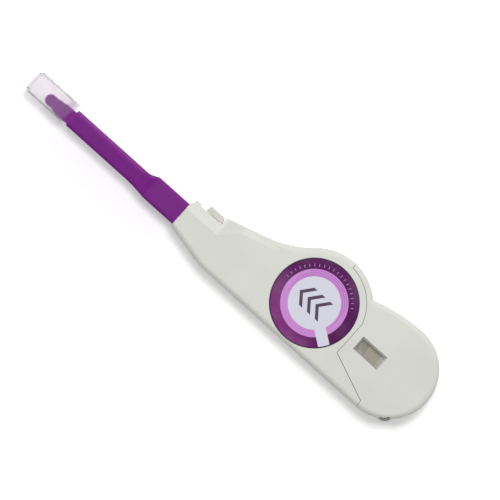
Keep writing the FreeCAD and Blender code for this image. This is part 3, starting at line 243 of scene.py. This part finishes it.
def mouldedPlastic(name, look):
    material, tree, shader = newMaterial(name)
    grain = useGroup(tree, mouldGrain, Scale=look["grainScale"], Softness=mouldShared["softness"])
    edges = useGroup(tree, rubbedAndHighlightedEdges, Radius=look["edgeRadius"])
    marks = useGroup(tree, handling, **{"Color": look["color"], "Tint": look["tint"],
                                        "Cloud Scale": look["cloudScale"],
                                        "Amount": look["cloud"], "Scratches": look["scratches"]})
    fleckShare = maths(tree, "MULTIPLY", grain["Fleck"], look["fleck"])
    flecked = mixColor(tree, fleckShare, marks["Color"], look["tint"])
    # edges take a lighter colour: a painted highlight along every edge
    edgeShare = maths(tree, "MULTIPLY", edges["Edge"], look["edge"])
    edgeHighlighted = mixColor(tree, edgeShare, flecked, look["edgeColor"])
    tree.links.new(edgeHighlighted, shader.inputs["Base Color"])
    rough = maths(tree, "MULTIPLY", grain["Fleck"], mouldShared["fleckRough"])
    rough = maths(tree, "ADD", rough, look["roughness"])
    rough = maths(tree, "ADD", rough, marks["Gloss"])
    polish = maths(tree, "MULTIPLY", edges["Edge"], mouldShared["edgePolish"])
    rough = maths(tree, "SUBTRACT", rough, polish, clamp=True)
    tree.links.new(rough, shader.inputs["Roughness"])
    height = maths(tree, "MULTIPLY", grain["Height"], mouldShared["grainHeight"])
    height = maths(tree, "ADD", height, marks["Height"])
    bump = addNode(tree, "ShaderNodeBump", {"Strength": look["bump"], "Distance": look["bumpDepth"],
                                            "Height": height, "Normal": edges["Normal"]})
    tree.links.new(bump.outputs["Normal"], shader.inputs["Normal"])
    shader.inputs["IOR"].default_value = mouldShared["ior"]
    shader.inputs["Specular IOR Level"].default_value = look["specular"]
    return material


# each edge colour is a painted highlight, lighter than the base colour
caseLook = {"color": srgb(211, 212, 206), "tint": srgb(203, 204, 196), "edgeColor": srgb(224, 225, 222),
            "cloud": 0.30, "scratches": 0.10, "fleck": 0.10, "edge": 0.6, "edgeRadius": 0.00022,
            "specular": 0.25, "roughness": 0.46, "grainScale": 5200.0, "cloudScale": 45.0,
            "bump": 0.25, "bumpDepth": 0.00003}
nozzleLook = {"color": srgb(113, 26, 124), "tint": srgb(103, 21, 114), "edgeColor": srgb(158, 76, 164),
              "cloud": 0.30, "scratches": 0.10, "fleck": 0.12, "edge": 0.9, "edgeRadius": 0.0013,
              "specular": 0.12, "roughness": 0.46, "grainScale": 5200.0, "cloudScale": 60.0,
              "bump": 0.22, "bumpDepth": 0.00003}
lockLook = {"color": srgb(203, 199, 192), "tint": srgb(190, 186, 179), "edgeColor": srgb(214, 211, 205),
            "cloud": 0.35, "scratches": 0.2, "fleck": 0.10, "edge": 0.5, "edgeRadius": 0.00025,
            "specular": 0.4, "roughness": 0.42, "grainScale": 6000.0, "cloudScale": 45.0,
            "bump": 0.25, "bumpDepth": 0.00003}
acetalLook = {"color": srgb(228, 227, 220), "tint": srgb(214, 212, 203), "edgeColor": srgb(238, 237, 232),
              "cloud": 0.25, "scratches": 0.25, "fleck": 0.06, "edge": 0.4, "edgeRadius": 0.00015,
              "specular": 0.4, "roughness": 0.34, "grainScale": 7000.0, "cloudScale": 45.0,
              "bump": 0.15, "bumpDepth": 0.00002}

casePlastic = mouldedPlastic("casePlastic", caseLook)
nozzlePlastic = mouldedPlastic("nozzlePlastic", nozzleLook)
lockPlastic = mouldedPlastic("lockPlastic", lockLook)
acetal = mouldedPlastic("acetal", acetalLook)
for name in ("lower_case", "front_cover", "rear_cover"):
    dress(name, casePlastic)
for name in ("nozzle", "cleaning_head"):
    dress(name, nozzlePlastic)
dress("lock_button", lockPlastic)
for name in ("slider_rack", "drive_gear", "takeup_reel", "takeup_flange", "supply_reel", "backstop_pawl"):
    dress(name, acetal)
print("plastics made")


# corner behind the lock: closes the slot that the solids leave open beside the side wall

cornerLook = {"gap": 0.16 * mm, "length": 1.49 * mm, "inner": 2.35 * mm, "outer": 0.63 * mm,
              "bottom": 1.4 * mm, "slopeStart": 7.25 * mm, "slope": 0.71, "under": 0.01 * mm}


def makeCorner(look):
    lockLow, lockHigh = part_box("lock_button")
    front = lockHigh[0] + look["gap"]
    inner = lockHigh[1] - look["inner"]
    outer = lockHigh[1] - look["outer"]
    bottom = lockLow[2] - look["bottom"]

    def top(y):
        return cadHigh.z - look["slope"] * (y - lockHigh[1] + look["slopeStart"]) - look["under"]

    bm = bmesh.new()
    ends = []
    for x in (front, front + look["length"]):
        ends.append([bm.verts.new((x, inner, bottom)), bm.verts.new((x, outer, bottom)),
                     bm.verts.new((x, outer, top(outer))), bm.verts.new((x, inner, top(inner)))])
    bm.faces.new(ends[0])
    bm.faces.new(ends[1])
    for i in range(4):
        j = (i + 1) % 4
        bm.faces.new((ends[0][i], ends[0][j], ends[1][j], ends[1][i]))
    bmesh.ops.recalc_face_normals(bm, faces=bm.faces)
    corner = addMesh(bm, "lockCorner", casePlastic)
    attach(corner, "housing")


makeCorner(cornerLook)
print("lock corner made")


# clear plastics: frosted cap, clear flange, smoked pane

capLook = {"color": srgb(246, 243, 246), "roughness": 0.10, "clear": 0.985, "ior": 1.25, "opacity": 1.0,
           "grainScale": 3500.0, "edgeRadius": 0.0003}
flangeLook = {"color": srgb(232, 234, 226), "roughness": 0.16, "clear": 0.0, "ior": 1.45, "opacity": 0.14,
              "solidAbove": 14.2 * mm, "grainScale": 5000.0, "edgeRadius": 0.0002}
paneLook = {"color": srgb(190, 190, 174), "roughness": 0.12, "clear": 0.0, "ior": 1.45, "opacity": 0.16,
            "grainScale": 2500.0, "edgeRadius": 0.0002}
clearShared = {"softness": 0.6, "cloudScale": 80.0, "cloud": 0.1, "scratches": 0.2, "fleckRough": 0.06,
               "bump": 0.15, "bumpDepth": 0.00003, "scuff": 0.3, "collarStep": 0.1 * mm, "collarMilk": 0.6}


def clearPlastic(name, look):
    material, tree, shader = newMaterial(name)
    grain = useGroup(tree, mouldGrain, Scale=look["grainScale"], Softness=clearShared["softness"])
    edges = useGroup(tree, rubbedAndHighlightedEdges, Radius=look["edgeRadius"])
    marks = useGroup(tree, handling, **{"Color": look["color"], "Tint": look["color"],
                                        "Cloud Scale": clearShared["cloudScale"],
                                        "Amount": clearShared["cloud"],
                                        "Scratches": clearShared["scratches"]})
    tree.links.new(marks["Color"], shader.inputs["Base Color"])
    rough = maths(tree, "MULTIPLY", grain["Fleck"], clearShared["fleckRough"])
    rough = maths(tree, "ADD", rough, look["roughness"])
    tree.links.new(maths(tree, "ADD", rough, marks["Gloss"], clamp=True), shader.inputs["Roughness"])
    bump = addNode(tree, "ShaderNodeBump",
                   {"Strength": clearShared["bump"], "Distance": clearShared["bumpDepth"],
                    "Height": grain["Height"], "Normal": edges["Normal"]})
    tree.links.new(bump.outputs["Normal"], shader.inputs["Normal"])
    # scuffs are a little less clear than the rest, and a raised collar is milky
    if look["opacity"] < 1:
        solid = maths(tree, "MULTIPLY", marks["Gloss"], clearShared["scuff"])
        solid = maths(tree, "ADD", solid, look["opacity"])
        if "solidAbove" in look:
            place = addNode(tree, "ShaderNodeTexCoord").outputs["Object"]
            height = addNode(tree, "ShaderNodeSeparateXYZ", {"Vector": place}).outputs["Z"]
            start = look["solidAbove"]
            end = start + clearShared["collarStep"]
            raised = spread(tree, height, start, end, 0.0, clearShared["collarMilk"])
            solid = maths(tree, "ADD", solid, raised, clamp=True)
        tree.links.new(solid, shader.inputs["Alpha"])
    shader.inputs["IOR"].default_value = look["ior"]
    shader.inputs["Transmission Weight"].default_value = look["clear"]
    return material


frosted = clearPlastic("frostedClear", capLook)
clearFlange = clearPlastic("polishedClear", flangeLook)
smokedPane = clearPlastic("smokedClear", paneLook)
dress("guide_cap", frosted)
dress("supply_flange", clearFlange)
dress("window_pane", smokedPane)
print("clear plastics made")


# cleaning tape and its rolls

# a wave texture makes about 3.2 waves to the metre for each unit of its scale
tapeLook = {"thread": srgb(236, 236, 231), "gap": srgb(196, 196, 190), "weaveScale": 1433.121,
            "roughness": 0.82, "fuzzRough": 0.1, "sheen": 0.15, "bump": 0.4, "bumpDepth": 0.00004}
rollLook = {"thread": srgb(238, 222, 194), "gap": srgb(186, 168, 138), "ringScale": 414.01274,
            "roughness": 0.7, "unevenRough": 0.15, "bump": 0.5, "bumpDepth": 0.00006}


def makeTapeCloth():
    material, tree, shader = newMaterial("tapeCloth")
    place = addNode(tree, "ShaderNodeTexCoord").outputs["Object"]
    threads = None
    for direction in ("X", "Z"):
        crest = addNode(tree, "ShaderNodeTexWave",
                        {"Vector": place, "Scale": tapeLook["weaveScale"], "Distortion": 0.6, "Detail": 1.0},
                        bands_direction=direction).outputs["Fac"]
        threads = crest if threads is None else maths(tree, "MAXIMUM", threads, crest)
    fuzz = addNode(tree, "ShaderNodeTexNoise",
                   {"Vector": place, "Scale": 3000.0, "Detail": 4.0}).outputs["Fac"]
    cover = maths(tree, "MULTIPLY", threads, spread(tree, fuzz, 0.2, 0.6, 0.6, 1.0))
    tree.links.new(mixColor(tree, cover, tapeLook["gap"], tapeLook["thread"]), shader.inputs["Base Color"])
    rough = maths(tree, "MULTIPLY", fuzz, tapeLook["fuzzRough"])
    tree.links.new(maths(tree, "ADD", tapeLook["roughness"], rough), shader.inputs["Roughness"])
    bump = addNode(tree, "ShaderNodeBump", {"Strength": tapeLook["bump"], "Distance": tapeLook["bumpDepth"],
                                            "Height": cover})
    tree.links.new(bump.outputs["Normal"], shader.inputs["Normal"])
    shader.inputs["Sheen Weight"].default_value = tapeLook["sheen"]
    return material


def makeTapeRoll(node, centreX):
    # the roll's face shows its layers as fine rings, coarser than the real ones
    material, tree, shader = newMaterial(node + "Turns")
    place = addNode(tree, "ShaderNodeTexCoord").outputs["Object"]
    moved = addNode(tree, "ShaderNodeMapping",
                    {"Vector": place, "Location": (-centreX, 0, 0)}).outputs["Vector"]
    layers = addNode(tree, "ShaderNodeTexWave",
                     {"Vector": moved, "Scale": rollLook["ringScale"],
                      "Distortion": 0.8, "Detail": 2.0, "Detail Scale": 1.5},
                     wave_type="RINGS", rings_direction="Z").outputs["Fac"]
    uneven = addNode(tree, "ShaderNodeTexNoise",
                     {"Vector": moved, "Scale": 260.0, "Detail": 3.0}).outputs["Fac"]
    tone = maths(tree, "MULTIPLY", layers, spread(tree, uneven, 0.3, 0.7, 0.55, 1.0))
    tree.links.new(mixColor(tree, tone, rollLook["gap"], rollLook["thread"]), shader.inputs["Base Color"])
    rough = maths(tree, "MULTIPLY", uneven, rollLook["unevenRough"])
    tree.links.new(maths(tree, "ADD", rollLook["roughness"], rough), shader.inputs["Roughness"])
    bump = addNode(tree, "ShaderNodeBump", {"Strength": rollLook["bump"], "Distance": rollLook["bumpDepth"],
                                            "Height": layers})
    tree.links.new(bump.outputs["Normal"], shader.inputs["Normal"])
    return material


tapeCloth = makeTapeCloth()
for name in ("feed_tape", "return_tape", "nozzle_tape", "head_tape"):
    dress(name, tapeCloth)
for name in ("used_tape", "tape_roll"):
    low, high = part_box(name)
    dress(name, makeTapeRoll(name, (low.x + high.x) / 2))
print("tape made")


# steel parts

steelLook = {"color": srgb(196, 197, 200), "dull": srgb(150, 151, 155), "roughness": 0.28,
             "drawnLines": 9000.0, "stretch": 0.06, "lineRough": 0.15, "edgeRadius": 0.0001,
             "bump": 0.2, "bumpDepth": 0.00001}


def makeSteel():
    material, tree, shader = newMaterial("springSteel")
    edges = useGroup(tree, rubbedAndHighlightedEdges, Radius=steelLook["edgeRadius"])
    place = addNode(tree, "ShaderNodeTexCoord").outputs["Object"]
    drawn = addNode(tree, "ShaderNodeMapping",
                    {"Vector": place, "Scale": (1.0, 1.0, steelLook["stretch"])}).outputs["Vector"]
    lines = addNode(tree, "ShaderNodeTexNoise", {"Vector": drawn, "Scale": steelLook["drawnLines"],
                                                 "Detail": 2.0}).outputs["Fac"]
    tree.links.new(mixColor(tree, spread(tree, lines, 0.3, 0.7), steelLook["dull"], steelLook["color"]),
                   shader.inputs["Base Color"])
    rough = maths(tree, "MULTIPLY", lines, steelLook["lineRough"])
    tree.links.new(maths(tree, "ADD", steelLook["roughness"], rough), shader.inputs["Roughness"])
    bump = addNode(tree, "ShaderNodeBump", {"Strength": steelLook["bump"], "Distance": steelLook["bumpDepth"],
                                            "Height": lines, "Normal": edges["Normal"]})
    tree.links.new(bump.outputs["Normal"], shader.inputs["Normal"])
    shader.inputs["Metallic"].default_value = 1.0
    return material


steel = makeSteel()
for name in ("clutch_spring", "supply_brake", "guide_pins"):
    dress(name, steel)
print("steel made")


# coil springs: round wire with a closed turn at each end

returnCoil = {"node": "return_spring", "body": "housing", "joint": "nozzle_slide", "fixed": "rear",
              "turns": 10, "wire": 0.25 * mm, "travel": 12 * mm}
headCoil = {"node": "head_spring", "body": "head_unit", "joint": "head_slide", "fixed": "front",
            "turns": 9, "wire": 0.2 * mm, "travel": 2 * mm}
coilSteps = {"around": 28, "sides": 10}


def makeCoil(look):
    low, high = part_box(look["node"])
    wire = look["wire"]
    radius = (high.y - low.y) / 2 - wire
    centre = (low + high) / 2
    length = high.x - low.x - 2 * wire
    turns = look["turns"]
    spacing = (length - 4 * wire) / (turns - 2)
    around, sides = coilSteps["around"], coilSteps["sides"]

    def middle(turn):
        # the first and the last turn lie close, the others are spread evenly
        closed = min(turn, 1.0) + max(turn - (turns - 1), 0.0)
        along = closed * 2 * wire + (turn - closed) * spacing
        angle = 2 * math.pi * turn
        return Vector((low.x + wire + along,
                       centre.y + radius * math.cos(angle),
                       centre.z + radius * math.sin(angle)))

    bm = bmesh.new()
    loops = []
    for i in range(turns * around + 1):
        turn = i / around
        spot = middle(turn)
        heading = (middle(min(turn + 0.01, turns)) - middle(max(turn - 0.01, 0.0))).normalized()
        out = Vector((0, spot.y - centre.y, spot.z - centre.z)).normalized()
        over = heading.cross(out)
        loops.append([bm.verts.new(spot + (out * math.cos(2 * math.pi * k / sides)
                                           + over * math.sin(2 * math.pi * k / sides)) * wire)
                      for k in range(sides)])
    for a, b in zip(loops, loops[1:]):
        for k in range(sides):
            bm.faces.new((a[k], a[(k + 1) % sides], b[(k + 1) % sides], b[k]))
    bm.faces.new(list(reversed(loops[0])))
    bm.faces.new(loops[-1])
    bmesh.ops.recalc_face_normals(bm, faces=bm.faces)
    for face in bm.faces:
        face.smooth = len(face.verts) == 4
    coil = addMesh(bm, look["node"] + "Coil", steel)
    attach(coil, look["body"])
    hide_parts(look["node"])
    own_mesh(coil)


for look in (returnCoil, headCoil):
    makeCoil(look)
print("coil springs made")


# label: printed film disc in the round recess

labelLook = {"dark": srgb(80, 10, 80), "darkRingPaintedLight": srgb(124, 44, 118), "lilac": srgb(198, 134, 204),
             "lilacLine": srgb(140, 70, 150), "centre": srgb(210, 211, 223), "line": srgb(52, 12, 58),
             "innerRing": 10.6 * mm, "middleRing": 13.6 * mm, "rim": 17.5 * mm, "edgeRoll": 0.06 * mm,
             "ticks": 48, "tickRing": (14.6 * mm, 15.7 * mm), "bandAngle": -0.62, "bandHalf": 2.3 * mm,
             "tickSpan": (0.42, 0.58, 0.03), "tickFrom": 0.5, "tickInk": 0.75,
             "paintedLightSide": (-0.45, -0.9), "paintedLightReach": 18 * mm,
             "arcs": ((11.3 * mm, -0.4), (12.1 * mm, 0.1), (12.9 * mm, 0.5)), "arcHalf": 0.1 * mm,
             "arcBlur": 0.03 * mm, "arcFade": 0.3, "arcInk": 0.7, "blur": 0.04 * mm,
             "chevrons": 3, "chevronPitch": 4.2 * mm, "chevronHalf": 4.6 * mm, "chevronLean": 0.8,
             "chevronSpan": (0.1, 0.5, 0.02), "chevronInk": 0.92, "worn": srgb(228, 222, 230),
             "roughness": 0.5, "specular": 0.08, "bump": 0.12, "bumpDepth": 0.00003, "sides": 192}


def between(tree, value, low, high, blur):
    rising = spread(tree, value, low - blur, low + blur)
    falling = spread(tree, value, high - blur, high + blur, 1.0, 0.0)
    return maths(tree, "MULTIPLY", rising, falling)


def makeLabelPrint():
    # plain rings with ticks, a pale band and three chevrons that point to the nozzle
    material, tree, shader = newMaterial("labelPrint")
    place = addNode(tree, "ShaderNodeTexCoord").outputs["Object"]
    split = addNode(tree, "ShaderNodeSeparateXYZ", {"Vector": place})
    x, y = split.outputs["X"], split.outputs["Y"]
    squares = maths(tree, "ADD", maths(tree, "MULTIPLY", x, x), maths(tree, "MULTIPLY", y, y))
    radius = maths(tree, "SQRT", squares)
    angle = maths(tree, "ARCTAN2", y, x)
    blur = labelLook["blur"]
    far = 1.0  # well outside the label
    # dark ring with painted light that makes it lighter towards one side, and ticks
    sideX, sideY = labelLook["paintedLightSide"]
    slant = maths(tree, "ADD", maths(tree, "MULTIPLY", x, sideX), maths(tree, "MULTIPLY", y, sideY))
    paintedLit = spread(tree, slant, 0.0, labelLook["paintedLightReach"])
    ring = mixColor(tree, paintedLit, labelLook["dark"], labelLook["darkRingPaintedLight"])
    step = maths(tree, "FRACT", maths(tree, "MULTIPLY", angle, labelLook["ticks"] / (2 * math.pi)))
    tick = between(tree, step, *labelLook["tickSpan"])
    tick = maths(tree, "MULTIPLY", tick, between(tree, radius, *labelLook["tickRing"], blur))
    firstAngle = labelLook["tickFrom"]
    tick = maths(tree, "MULTIPLY", tick, spread(tree, angle, firstAngle, firstAngle + 0.02))
    ring = mixColor(tree, maths(tree, "MULTIPLY", tick, labelLook["tickInk"]), ring, labelLook["lilac"])
    # lilac ring with thin darker arcs
    arcs = None
    for at, start in labelLook["arcs"]:
        reach = labelLook["arcHalf"]
        line = between(tree, radius, at - reach, at + reach, labelLook["arcBlur"])
        side = spread(tree, maths(tree, "DIVIDE", y, radius), start, start + labelLook["arcFade"])
        line = maths(tree, "MULTIPLY", line, side)
        arcs = line if arcs is None else maths(tree, "MAXIMUM", arcs, line)
    ink = maths(tree, "MULTIPLY", arcs, labelLook["arcInk"])
    lilac = mixColor(tree, ink, labelLook["lilac"], labelLook["lilacLine"])
    inside = spread(tree, radius, labelLook["middleRing"] - blur, labelLook["middleRing"] + blur)
    color = mixColor(tree, inside, lilac, ring)
    # pale disc, and the band that leaves it
    core = between(tree, radius, -far, labelLook["innerRing"], blur)
    turnX, turnY = math.cos(labelLook["bandAngle"]), math.sin(labelLook["bandAngle"])
    ahead = maths(tree, "ADD", maths(tree, "MULTIPLY", x, turnX), maths(tree, "MULTIPLY", y, turnY))
    aside = maths(tree, "SUBTRACT", maths(tree, "MULTIPLY", y, turnX), maths(tree, "MULTIPLY", x, turnY))
    band = between(tree, aside, -labelLook["bandHalf"], labelLook["bandHalf"], blur)
    band = maths(tree, "MULTIPLY", band, between(tree, ahead, 0.0, far, blur))
    color = mixColor(tree, maths(tree, "MAXIMUM", core, band), color, labelLook["centre"])
    # chevrons, centred on the disc
    pitch, half, lean = labelLook["chevronPitch"], labelLook["chevronHalf"], labelLook["chevronLean"]
    row = labelLook["chevrons"] * pitch
    fold = maths(tree, "SUBTRACT", x, maths(tree, "MULTIPLY", maths(tree, "ABSOLUTE", y), lean))
    fold = maths(tree, "ADD", fold, (row + half * lean) / 2)
    stripe = maths(tree, "FRACT", maths(tree, "DIVIDE", fold, pitch))
    chevron = between(tree, stripe, *labelLook["chevronSpan"])
    chevron = maths(tree, "MULTIPLY", chevron, between(tree, y, -half, half, blur))
    chevron = maths(tree, "MULTIPLY", chevron, between(tree, fold, 0.0, row, blur))
    chevron = maths(tree, "MULTIPLY", chevron, labelLook["chevronInk"])
    color = mixColor(tree, chevron, color, labelLook["line"])
    rim = between(tree, radius, labelLook["rim"], far, blur)
    color = mixColor(tree, rim, color, labelLook["line"])
    marks = useGroup(tree, handling, **{"Color": color, "Tint": labelLook["worn"], "Cloud Scale": 70.0,
                                        "Amount": 0.05, "Scratches": 0.15})
    tree.links.new(marks["Color"], shader.inputs["Base Color"])
    tree.links.new(maths(tree, "ADD", labelLook["roughness"], marks["Gloss"]), shader.inputs["Roughness"])
    film = useGroup(tree, mouldGrain, Scale=1400.0, Softness=0.8)
    bump = addNode(tree, "ShaderNodeBump",
                   {"Strength": labelLook["bump"], "Distance": labelLook["bumpDepth"],
                    "Height": film["Height"]})
    tree.links.new(bump.outputs["Normal"], shader.inputs["Normal"])
    shader.inputs["Specular IOR Level"].default_value = labelLook["specular"]
    return material


def makeLabel():
    low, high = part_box("round_label")
    centre = (low + high) / 2
    outer = (high.x - low.x) / 2
    roll = labelLook["edgeRoll"]
    rings = [(outer, low.z), (outer, high.z - roll),
             (outer - roll * 0.3, high.z - roll * 0.3), (outer - roll, high.z),
             (labelLook["middleRing"], high.z), (labelLook["innerRing"], high.z), (outer * 0.3, high.z)]
    bm = bmesh.new()
    sides = labelLook["sides"]
    loops = []
    for radius, z in rings:
        loops.append([bm.verts.new((centre.x + radius * math.cos(2 * math.pi * i / sides),
                                    centre.y + radius * math.sin(2 * math.pi * i / sides), z))
                      for i in range(sides)])
    for a, b in zip(loops, loops[1:]):
        for i in range(sides):
            j = (i + 1) % sides
            bm.faces.new((a[i], a[j], b[j], b[i]))
    bm.faces.new(loops[-1])
    bm.faces.new(list(reversed(loops[0])))
    bmesh.ops.recalc_face_normals(bm, faces=bm.faces)
    label = addMesh(bm, "labelFilm", makeLabelPrint())
    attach(label, "housing")
    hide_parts("round_label")


makeLabel()
print("label made")


# floor, lights and camera

stageLook = {"floor": (0.90, 0.90, 0.90, 1), "lift": 0.31, "farLift": 0.7, "farFrom": 0.3, "farTo": 1.3,
             "half": 3.0, "drop": 0.02 * mm, "roughness": 0.9, "ambient": 0.33}
keyLight = {"place": (-0.09, 0.14, 0.88), "size": 0.17, "power": 3.9}
sideLight = {"place": (-0.08, 0.74, 0.50), "size": 0.35, "power": 2.6}
cameraSet = {"centre": (-33.1 * mm, -1.4 * mm), "turn": 41.95, "lens": 260.0, "field": 0.2}


def seenOrMirrored(tree):
    path = addNode(tree, "ShaderNodeLightPath").outputs
    return maths(tree, "MAXIMUM", path["Is Camera Ray"],
                 maths(tree, "MAXIMUM", path["Is Glossy Ray"], path["Is Transmission Ray"]))


def makeFloor():
    bm = bmesh.new()
    bmesh.ops.create_grid(bm, x_segments=8, y_segments=8, size=stageLook["half"])
    material, tree, shader = newMaterial("paper")
    shader.inputs["Base Color"].default_value = stageLook["floor"]
    shader.inputs["Roughness"].default_value = stageLook["roughness"]
    shader.inputs["Specular IOR Level"].default_value = 0.0
    shader.inputs["Emission Color"].default_value = (1, 1, 1, 1)
    # the paper stays white far from the lamps
    place = addNode(tree, "ShaderNodeTexCoord").outputs["Object"]
    away = addNode(tree, "ShaderNodeVectorMath", {"Vector": place}, operation="LENGTH").outputs["Value"]
    more = spread(tree, away, stageLook["farFrom"], stageLook["farTo"], 0.0, stageLook["farLift"])
    lift = maths(tree, "ADD", more, stageLook["lift"])
    tree.links.new(maths(tree, "MULTIPLY", seenOrMirrored(tree), lift), shader.inputs["Emission Strength"])
    floor = addMesh(bm, "floor", material)
    floor.location = (0, 0, cadLow.z - stageLook["drop"])
    floor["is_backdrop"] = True


def makeWorld():
    world = bpy.data.worlds.new("studio")
    world.use_nodes = True
    tree = world.node_tree
    back = tree.nodes["Background"]
    back.inputs["Color"].default_value = (1, 1, 1, 1)
    strength = spread(tree, seenOrMirrored(tree), 0, 1, stageLook["ambient"], 1.0, smooth=False)
    tree.links.new(strength, back.inputs["Strength"])
    bpy.context.scene.world = world


def makeLamp(name, look):
    lamp = bpy.data.lights.new(name, "AREA")
    lamp.size = look["size"]
    lamp.energy = look["power"]
    thing = bpy.data.objects.new(name, lamp)
    thing.location = look["place"]
    aim = Vector((cameraSet["centre"][0], cameraSet["centre"][1], 0)) - thing.location
    thing.rotation_euler = aim.to_track_quat("-Z", "Y").to_euler()
    bpy.context.scene.collection.objects.link(thing)


def makeCamera():
    lens = bpy.data.cameras.new("camera")
    lens.lens = cameraSet["lens"]
    lens.sensor_width = 36.0
    away = cameraSet["field"] * lens.lens / lens.sensor_width
    camera = bpy.data.objects.new("camera", lens)
    camera.location = (*cameraSet["centre"], cadHigh.z * 0.5 + away)
    camera.rotation_euler = (0, 0, math.radians(cameraSet["turn"]))
    bpy.context.scene.collection.objects.link(camera)
    bpy.context.scene.camera = camera


makeFloor()
makeWorld()
makeLamp("key", keyLight)
makeLamp("side", sideLight)
makeCamera()
bpy.context.scene.view_settings.view_transform = "Standard"
print("stage made")

low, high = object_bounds()
